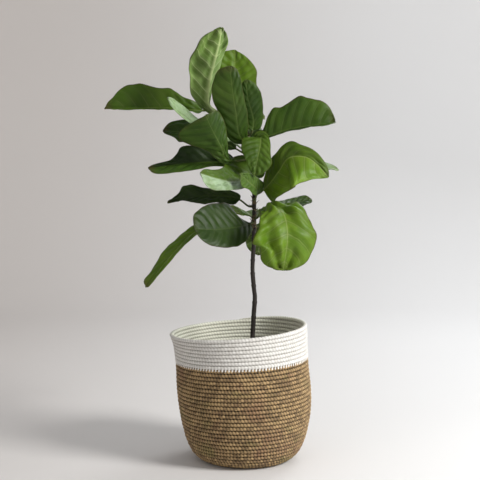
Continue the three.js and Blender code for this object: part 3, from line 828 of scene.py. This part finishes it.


# ---------------------------------------------------------------- leaves
# node: height above the soil where the leaf stalk leaves the stem; stalk: its length; width: across the
# blade. faces and tip_faces: which way the upper side looks, as azimuth and elevation in degrees. fold: how
# far each half is raised at the midrib; curl: how much further it turns towards its margin. path: the
# midrib's points as offsets from the node. edges: for a leaf of its own shape, and in place of width, how
# far each half reaches from the midrib at percentages of the blade's length, first the half on -v. tint:
# youth, painted shade and dryness. dark: the two halves' extra painted shade. painted_reflection: the
# halves' painted pale sheen. wave: how far the margin waves, and how many times. pucker: how swollen the
# panels between the side veins are. rib: how stout the midrib is.
LEAVES = [
    dict(node=362, stalk=50, faces=(-128, 50), fold=15, tint=(0.62, 0, 0.9), wave=(0.06, 3.2),
         path=[[-55, -15, 20], [-145, -40, 0], [-210, -75, -60], [-275, -100, -140]],
         edges=({10: 16, 25: 22, 40: 22, 60: 20, 80: 18, 92: 17, 98: 13},
                {10: 16, 25: 22, 40: 25, 60: 30, 75: 27, 88: 22, 96: 19})),
    dict(node=370, stalk=24, width=84, faces=(80, 15), fold=6, tint=(0.1, 0.5, 0.2), wave=(0.08, 2.4),
         path=[[10, 60, 0], [20, 95, -35], [10, 105, -85]]),
    dict(node=380, stalk=24, faces=(-105, 18), fold=8, tint=(0.05, 0.55, 0.2), wave=(0.03, 2.6),
         path=[[-25, -50, -5], [-90, -115, -10], [-150, -165, -5]],
         edges=({3: 12, 10: 22, 20: 34, 32: 48, 50: 56, 70: 51, 86: 42, 96: 28},
                {2: 50, 7: 74, 20: 72, 46: 73, 70: 66, 86: 53, 96: 36})),
    dict(node=386, stalk=40, width=104, faces=(80, 62), fold=16, tint=(0.1, 0, 0.3), wave=(0.1, 3),
         path=[[-10, 60, 10], [-25, 130, 15], [-30, 200, 0]]),
    dict(node=392, stalk=24, faces=(-80, 60), tip_faces=(-75, 5), fold=6, curl=-10, tint=(0.8, 0.18, 0.4),
         wave=(0.06, 3.4), pucker=5,
         path=[[30, -60, 30], [70, -130, 20], [80, -165, -35], [70, -160, -120]],
         edges=({3: 48, 10: 70, 20: 64, 32: 57, 46: 60, 62: 70, 72: 74, 82: 68, 92: 56, 97: 38},
                {5: 8, 15: 18, 30: 40, 46: 62, 60: 72, 68: 86, 76: 92, 80: 72, 84: 64, 92: 58, 97: 42})),
    dict(node=408, stalk=40, faces=(-100, 55), fold=18, tint=(0.1, 0.5, 0.3), wave=(0.04, 3),
         path=[[64, 60, 6], [112, 110, 17], [157, 140, 27]],
         edges=({10: 18, 25: 26, 50: 24, 70: 20, 90: 21, 97: 16},
                {10: 18, 30: 32, 60: 36, 80: 34, 90: 26, 97: 12})),
    dict(node=422, stalk=40, faces=(-90, 40), fold=20, tint=(0, 0.62, 0.5), wave=(0.05, 3.4),
         path=[[-45, 15, 20], [-130, 40, 25], [-195, 60, 15], [-230, 65, 5]],
         edges=({3: 20, 10: 30, 30: 36, 50: 34, 62: 26, 70: 16, 78: 8, 90: 5},
                {3: 14, 20: 20, 40: 21, 54: 27, 66: 36, 78: 38, 84: 22, 92: 12, 97: 8})),
    dict(node=440, stalk=30, faces=(-75, 25), fold=10, tint=(0.3, 0, 0.2), wave=(0.05, 2.6),
         painted_reflection=(0.1, 0.1),
         path=[[6, -50, 26], [-12, -90, 45], [-37, -130, 69]],
         edges=({5: 6, 15: 13, 30: 24, 45: 26, 60: 23, 75: 26, 88: 29, 96: 22},
                {3: 26, 10: 32, 30: 31, 50: 28, 70: 21, 85: 13, 95: 7})),
    dict(node=456, stalk=28, faces=(-90, 30), fold=10, tint=(0.75, 0, 0.3), wave=(0.03, 3.2), dark=(0.5, 0),
         path=[[36, -25, 22], [62, -60, 58], [86, -85, 92], [128, -100, 94], [160, -106, 72],
               [184, -108, 44]],
         edges=({4: 22, 15: 38, 25: 44, 35: 40, 44: 35, 54: 44, 62: 34, 75: 26, 88: 18, 97: 10},
                {2: 34, 8: 52, 22: 61, 38: 70, 50: 90, 57: 102, 70: 94, 80: 70, 88: 42, 97: 14})),
    dict(node=472, stalk=40, faces=(-95, 28), fold=5, tint=(0.3, 0, 0.2), wave=(0.03, 2.8), dark=(0, 0.15),
         painted_reflection=(0.95, 0),
         path=[[-10, -40, 30], [-49, -95, 17], [-91, -140, 26], [-134, -175, 40]],
         edges=({3: 8, 15: 16, 30: 25, 54: 28, 70: 34, 90: 38, 97: 28},
                {3: 28, 8: 68, 20: 66, 38: 56, 50: 46, 62: 32, 78: 22, 92: 15, 97: 8})),
    dict(node=486, stalk=34, width=112, faces=(95, 70), fold=16, tint=(0.15, 0, 0.3), wave=(0.1, 3),
         path=[[-10, 60, 15], [-25, 130, 30], [-30, 215, 25]]),
    dict(node=512, stalk=40, faces=(-105, 30), fold=30, tint=(0.05, 0.05, 0.8), wave=(0.03, 3),
         dark=(0, 0.82),
         path=[[-70, -15, 25], [-140, -30, 25], [-200, -40, 20], [-270, -50, 10]],
         edges=({10: 20, 30: 26, 50: 36, 70: 42, 86: 40, 95: 30},
                {8: 18, 20: 30, 38: 40, 54: 46, 62: 45, 68: 27, 76: 13, 90: 9, 97: 6})),
    dict(node=526, stalk=40, width=80, faces=(-90, 60), fold=20, tint=(0.5, 0, 0.3), wave=(0.1, 2.8),
         painted_reflection=(0.4, 0.4),
         path=[[90, 70, -5], [165, 130, -5], [235, 175, -10]]),
    dict(node=545, stalk=62, faces=(-88, 5), fold=-18, tint=(0, 0, 0.3), wave=(0.04, 3),
         path=[[-18, -25, -2], [-65, -62, -1], [-80, -85, 32], [-102, -102, 74], [-118, -114, 109]],
         edges=({10: 12, 22: 20, 34: 30, 46: 38, 58: 52, 70: 70, 82: 85, 91: 86, 97: 68},
                {10: 10, 30: 15, 38: 19, 46: 26, 62: 37, 78: 40, 92: 38, 98: 24})),
    dict(node=556, stalk=44, faces=(-105, 40), fold=15, tint=(0, 0.25, 0.8), wave=(0.05, 3),
         path=[[-60, 30, 25], [-135, 75, 45], [-190, 110, 60], [-240, 135, 65]],
         edges=({8: 16, 30: 26, 50: 30, 68: 38, 78: 27, 90: 18, 97: 9},
                {8: 18, 30: 32, 50: 42, 70: 45, 86: 38, 96: 22})),
    dict(node=560, stalk=44, faces=(-90, 15), fold=8, tint=(0.15, 0.05, 0.2), wave=(0.04, 2.4),
         path=[[22, -38, 40], [22, -62, 26], [14, -84, -14], [6, -88, -56]],
         edges=({3: 16, 15: 20, 30: 24, 46: 28, 62: 33, 75: 38, 86: 31, 97: 16},
                {3: 32, 12: 43, 38: 49, 54: 45, 70: 34, 86: 19, 97: 8})),
    dict(node=566, stalk=60, width=56, faces=(-47, 45), fold=10, tint=(0.6, 0, 0.2), wave=(0.05, 2),
         painted_reflection=(0.7, 0.7),
         path=[[-65, -15, 35], [-130, -55, 65], [-175, -85, 95], [-210, -110, 130]]),
    dict(node=578, stalk=34, width=118, faces=(90, 50), fold=16, tint=(0.2, 0, 0.3), wave=(0.1, 3),
         path=[[-5, 60, 40], [-15, 130, 75], [-25, 205, 100]]),
    dict(node=584, stalk=22, faces=(-90, 48), fold=40, tint=(0.05, 0, 0.4), wave=(0.02, 3.4),
         path=[[50, 0, 20], [115, -10, 40], [180, -15, 50], [220, -10, 55]],
         edges=({5: 14, 12: 28, 22: 58, 30: 70, 38: 68, 50: 78, 60: 83, 78: 73, 90: 58, 97: 38},
                {5: 20, 20: 40, 50: 50, 80: 48, 95: 28})),
    dict(node=600, stalk=22, faces=(-90, -10), fold=-8, tint=(0, 0.15, 0.5), wave=(0.05, 2.6), pucker=0.9,
         path=[[-5, -28, -9], [-23, -52, 4], [-33, -85, 63], [-40, -100, 105], [-48, -104, 176]],
         edges=({5: 12, 15: 28, 30: 35, 46: 43, 60: 52, 70: 54, 82: 50, 92: 40, 98: 28},
                {5: 8, 15: 21, 30: 28, 60: 27, 80: 25, 92: 20, 98: 12})),
    dict(node=610, stalk=22, faces=(-90, -10), fold=-10, tint=(0, 0.1, 0.3), wave=(0.04, 2.6), pucker=0.9,
         path=[[15, -20, 30], [0, -40, 90], [-5, -50, 135]],
         edges=({3: 28, 15: 43, 30: 46, 46: 37, 62: 27, 78: 17, 97: 9},
                {3: 16, 15: 24, 30: 28, 46: 34, 66: 36, 80: 32, 92: 22, 98: 12})),
    dict(node=628, stalk=150, faces=(-90, 45), fold=40, tint=(0.22, 0, 1), wave=(0.02, 3.6),
         path=[[-50, 60, 38], [-135, 55, 45], [-225, 50, 51], [-315, 40, 50], [-370, 35, 48]],
         edges=({5: 14, 20: 26, 50: 34, 80: 30, 95: 12},
                {5: 22, 15: 30, 22: 36, 30: 50, 37: 59, 46: 55, 54: 60, 66: 70, 78: 63, 86: 50, 92: 31,
                 97: 18})),
    dict(node=656, stalk=66, faces=(120, 10), fold=38, tint=(0.3, 0, 0.2), wave=(0.03, 3), painted_reflection=(0.2, 0.1),
         dark=(0.1, 0.12), pucker=4.5, rib=2.3,
         path=[[-51, -39, 1], [-84, -56, 23], [-83, -64, 76], [-68, -62, 139], [-56, -52, 189],
               [-53, -38, 221]],
         edges=({5: 6, 20: 12, 38: 28, 54: 38, 70: 46, 90: 40, 98: 24},
                {5: 8, 15: 18, 22: 32, 30: 48, 46: 58, 60: 65, 78: 60, 88: 52, 94: 40, 98: 22})),
    dict(node=664, stalk=34, faces=(-90, 15), fold=10, tint=(0.55, 0, 0.2), wave=(0.03, 2.8),
         path=[[-10, 40, 30], [-15, 80, 95], [-15, 95, 170]],
         edges=({3: 24, 15: 42, 46: 48, 86: 46, 96: 36},
                {3: 28, 12: 50, 30: 57, 54: 59, 70: 56, 80: 46, 90: 28, 97: 10})),
]
VEIN_START, VEIN_RISE, VEIN_GAP = 0.05, 0.19, 0.125
HALF_STEPS = 22  # points from the midrib to the margin
BLADE_STEPS = 96


def outline(u):
    """Half of a fiddle leaf's width as a share of its greatest, at a share of the blade's length."""
    base = np.sqrt(np.clip(1 - np.maximum(0, 1 - u / 0.16) ** 2, 0, 1))
    end = np.sqrt(np.clip(1 - np.maximum(0, (u - 0.68) / 0.32) ** 2, 0, 1))
    body = lerp(0.74, 1.0, smoothstep(u, 0.36, 0.66))
    waist = 1 - 0.1 * np.exp(-(((u - 0.38) / 0.12) ** 2))
    return base * end * body * waist


def margin(u, reaches):
    """How far a half reaches from the midrib, in millimetres, from {percentage of the length: reach}."""
    line = catmull(np.array([(0, 0), *reaches.items(), (100, 0)], float), 24)
    place = np.maximum.accumulate(line[:, 0])
    return np.interp(100 * u, place, np.maximum(line[:, 1], 0.2))


def veins(u, v):
    """Counts side veins along the blade: a whole number lies on a vein, which sweeps forward to the margin."""
    return (u - VEIN_START - VEIN_RISE * np.abs(v) ** 1.25) / VEIN_GAP


def leaf(number, facts):
    """One leaf: the stalk's rings widen into the blade's, which has an upper and an under side."""
    seed = 100 + number
    node = stem_axis(facts["node"])
    bends = np.array(facts["path"], float) + node
    outward = unit((bends[0] - node) * [1, 1, 0])
    start = node + outward * (stem_radius(node[2]) - 0.6)
    points = catmull(np.vstack([start, start + outward * 10.4, bends]))
    lengths = running_length(points)
    length, stalk = lengths[-1], facts["stalk"]
    blade = length - stalk

    stalk_at = np.concatenate([np.linspace(0, 8, 6), np.linspace(12, stalk * 0.94, 12)])
    base, tip = [0.004, 0.012, 0.024], [0.962, 0.973, 0.982, 0.989, 0.994, 0.998, 0.9995]
    shares = np.concatenate([base, np.linspace(0.04, 0.95, BLADE_STEPS - len(base) - len(tip)), tip])
    at = np.concatenate([stalk_at, stalk + shares * blade])
    u = (at - stalk) / blade
    centre = along_curve(points, lengths, at)
    ahead, behind = (along_curve(points, lengths, np.clip(at + step, 0, length)) for step in (5, -5))
    along = unit(ahead - behind)
    course = unit(bends[-1] - start)
    faces, tip_faces = direction(*facts["faces"]), direction(*facts.get("tip_faces", facts["faces"]))
    facing = lerp(faces, tip_faces, smoothstep(u, 0, 1)[:, None])
    side = unit(np.cross(unit(lerp(along, course, 0.25)), facing))
    kernel = np.exp(-np.linspace(-2, 2, 9) ** 2)
    side = unit(np.stack([np.convolve(np.pad(side[:, i], 4, "edge"), kernel, "valid") for i in range(3)], -1))
    up = unit(np.cross(side, along))

    # the middle surface of the blade
    low = -np.linspace(1, 0, HALF_STEPS + 1) ** 0.85
    v = np.concatenate([low, np.linspace(0, 1, HALF_STEPS + 1)[1:] ** 0.85])
    u2, v2 = np.meshgrid(np.clip(u, 0, 1), v, indexing="ij")
    far, hand = np.abs(v2), np.sign(v2)
    if "edges" in facts:
        half = np.where(v2 < 0, margin(u2, facts["edges"][0]), margin(u2, facts["edges"][1]))
        # the midrib's own column lies between the halves
        half[:, HALF_STEPS] = (half[:, HALF_STEPS - 1] + half[:, HALF_STEPS + 1]) / 2
    else:
        half = facts["width"] / 2 * outline(u2)
    uneven = 1 + 0.035 * waves(u2 * 7 + 3 * hand, seed) + 0.02 * waves(u2 * 19 + 5 * hand, seed + 40)
    half = half * uneven
    opening = smoothstep(u2, 0, 0.15)
    fold = np.radians(facts["fold"]) * opening
    curl = np.radians(facts.get("curl", 0)) * opening
    reach = np.sqrt(v2**2 + 0.0036) - 0.06
    angle = fold + curl * far / 2
    size, rate = facts["wave"]
    phase = np.where(v2 < 0, 1.9, 0.0) + seed
    ruffle = size * far ** 2.2 * np.sin(2 * np.pi * rate * u2 + phase) * smoothstep(u2, 0.02, 0.2)
    ruffle = ruffle + 0.3 * size * far ** 3 * np.sin(2 * np.pi * rate * 2.7 * u2 + 2 * phase)
    droop = -0.05 * far ** 2.5
    across = v2 * half * np.cos(angle)
    rise = reach * half * np.sin(angle) + (ruffle + droop) * half
    pucker = facts.get("pucker", 1.6)
    rumple = waves(u2 * 9 + 2 * v2, seed + 7, 4, 0.8, 2.4) * waves(v2 * 5 - 3 * u2, seed + 9, 3, 0.8, 2.0)
    rise = rise + (1.0 + 1.6 * (pucker - 1)) * 3.0 * rumple * smoothstep(far, 0.02, 0.3) * opening
    middle = centre[:, None] + side[:, None] * across[..., None] + up[:, None] * rise[..., None]
    slope_u = np.gradient(middle, axis=0)
    slope_v = np.gradient(middle, axis=1)
    normal = unit(np.cross(slope_u, slope_v))
    normal = np.where((normal * up[:, None]).sum(-1, keepdims=True) < -0.2, -normal, normal)

    # relief: sunken veins and swollen panels above, standing veins below
    w2 = veins(u2, v2)
    near = np.abs(w2 - np.round(w2)) * VEIN_GAP * blade
    vein = np.exp(-((near / 1.5) ** 2)) * (1 - 0.55 * far) * smoothstep(w2, -0.6, -0.4)
    panel = np.cos(np.pi * (w2 - np.round(w2))) ** 2
    swell = (1 - panel) * smoothstep(far, 0.03, 0.25) * (1 - smoothstep(far, 0.75, 1)) * 1.3 * pucker**0.5
    stout = facts.get("rib", 1.0)
    rib_width = lerp(2.6, 0.8, np.clip(u2, 0, 1)) * stout
    rib = np.exp(-((across / rib_width) ** 2))
    thin = 0.45 * (1 - far ** 6) + 0.05
    above = thin + swell - 0.35 * vein - 0.5 * rib
    below = thin - swell + 0.9 * vein + lerp(3.4, 0.8, u2**0.7) * rib
    top = middle + normal * above[..., None]
    bottom = middle - normal * below[..., None]
    ring = np.concatenate([top, bottom[:, 1:-1][:, ::-1]], 1)

    # the stalk is round and flows into the midrib
    steps = ring.shape[1]
    turn = np.pi - circle(steps)
    thick = np.interp(at, [0, 4, 10, stalk], [4.4, 3.3, 2.6, 2.3])[:, None]
    around = side[:, None] * np.cos(turn)[:, None] + up[:, None] * np.sin(turn)[:, None]
    round_ring = centre[:, None] + thick[..., None] * around
    becoming = smoothstep(at, stalk * 0.94, stalk + 0.016 * blade)[:, None, None]
    ring = lerp(round_ring, ring, becoming)

    def both(values):
        return np.concatenate([values, values[:, 1:-1][:, ::-1]], 1)

    signed = both(np.where(at[:, None] < stalk, ((at - stalk) / blade)[:, None], u2))
    # painted shade and painted reflection, set for each half
    dark = np.where(v2 < 0, *facts.get("dark", (0.0, 0.0)))
    painted_reflection = np.where(v2 < 0, *facts.get("painted_reflection", (0.0, 0.0)))
    tint = np.broadcast_to(np.array(facts["tint"], float), (*signed.shape, 3)).copy()
    tint[..., 1] = np.minimum(tint[..., 1] + both(dark), 1)
    fields = {
        "blade": np.stack([signed, both(v2), both(w2)], -1),
        "across": both(across) * MM / stout,
        "tint": tint,
        "painted_reflection": both(painted_reflection),
    }
    under = np.broadcast_to(np.arange(steps) >= 2 * HALF_STEPS, (len(ring), steps)).astype(int)
    piece = tube(f"leaf_{number:02d}_blade", ring * MM, [LEAF_TOP, LEAF_UNDER], fields, None, under)
    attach(piece, "root")
    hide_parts(f"leaf_{number:02d}")


# ---------------------------------------------------------------- studio
def studio():
    s = Surface("backdrop")
    across = s.split(s.place())[0]
    cloud = s.noise(s.place(), 0.8, 2.0)
    # painted light: the backdrop darker and warmer on the left, paler on the right, the key light's side
    colour = s.mix(s.ramp(across, -1.6, 1.2), (0.620, 0.582, 0.556), (0.800, 0.800, 0.802))
    colour = s.mix(s.times(cloud, 0.06), colour, (0.6, 0.6, 0.6))
    pale = s.finish(Base_Color=colour, Roughness=0.85)
    bend = np.linspace(0, np.pi / 2, 24)
    sweep = [[2.6 + 1.8 * math.sin(b), 1.8 - 1.8 * math.cos(b)] for b in bend]
    sides = 128
    rings = revolve(np.array([[0.05, 0], [1.2, 0], [2.4, 0], *sweep, [4.4, 4.5]]), sides)
    hub = np.arange(sides)
    middle = np.full(sides // 2, len(rings) * sides)
    fan = np.stack([hub[::2], (hub[::2] + 1) % sides, (hub[::2] + 2) % sides, middle], 1)
    faces = grid_faces(len(rings), sides)[0]
    points = np.vstack([rings.reshape(-1, 3), [[0, 0, 0]]])
    make_mesh("backdrop", points, np.vstack([faces, fan]), [pale])

    world = bpy.data.worlds.new("studio")
    world.use_nodes = True
    sky = world.node_tree.nodes["Background"].inputs
    sky[0].default_value = (0.93, 0.96, 1.0, 1)
    sky[1].default_value = 0.38
    bpy.context.scene.world = world

    for name, spot, aim, wide, power, colour in (
        ("key", (2.5, -1.5, 2.2), (0, 0, 0.5), 1.2, 122, (1.0, 0.99, 0.97)),
        ("fill", (-2.2, -2.4, 1.8), (0, 0, 0.6), 2.2, 7, (1.0, 0.97, 0.94)),
        ("wall", (2.2, 1.4, 2.4), (2.1, 4.3, 1.3), 1.5, 19, (0.99, 1.0, 1.0)),
        ("back", (1.4, 2.2, 2.6), (0, 0, 0.8), 1.6, 30, (0.97, 0.99, 1.0)),
    ):
        lamp = bpy.data.objects.new(name, bpy.data.lights.new(name, "AREA"))
        lamp.data.shape = "DISK"
        lamp.data.size = wide
        lamp.data.energy = power
        lamp.data.color = colour
        lamp.location = spot
        lamp.rotation_mode = "QUATERNION"
        lamp.rotation_quaternion = (Vector(aim) - Vector(spot)).to_track_quat("-Z", "Y")
        lamp.visible_camera = False
        bpy.context.scene.collection.objects.link(lamp)
    bpy.context.scene.view_settings.view_transform = "Standard"


coils()
inner_pieces()
stem([facts["node"] for facts in LEAVES])
bud()
stipules([facts["node"] for facts in LEAVES])
for number, facts in enumerate(LEAVES, 1):
    leaf(number, facts)
studio()
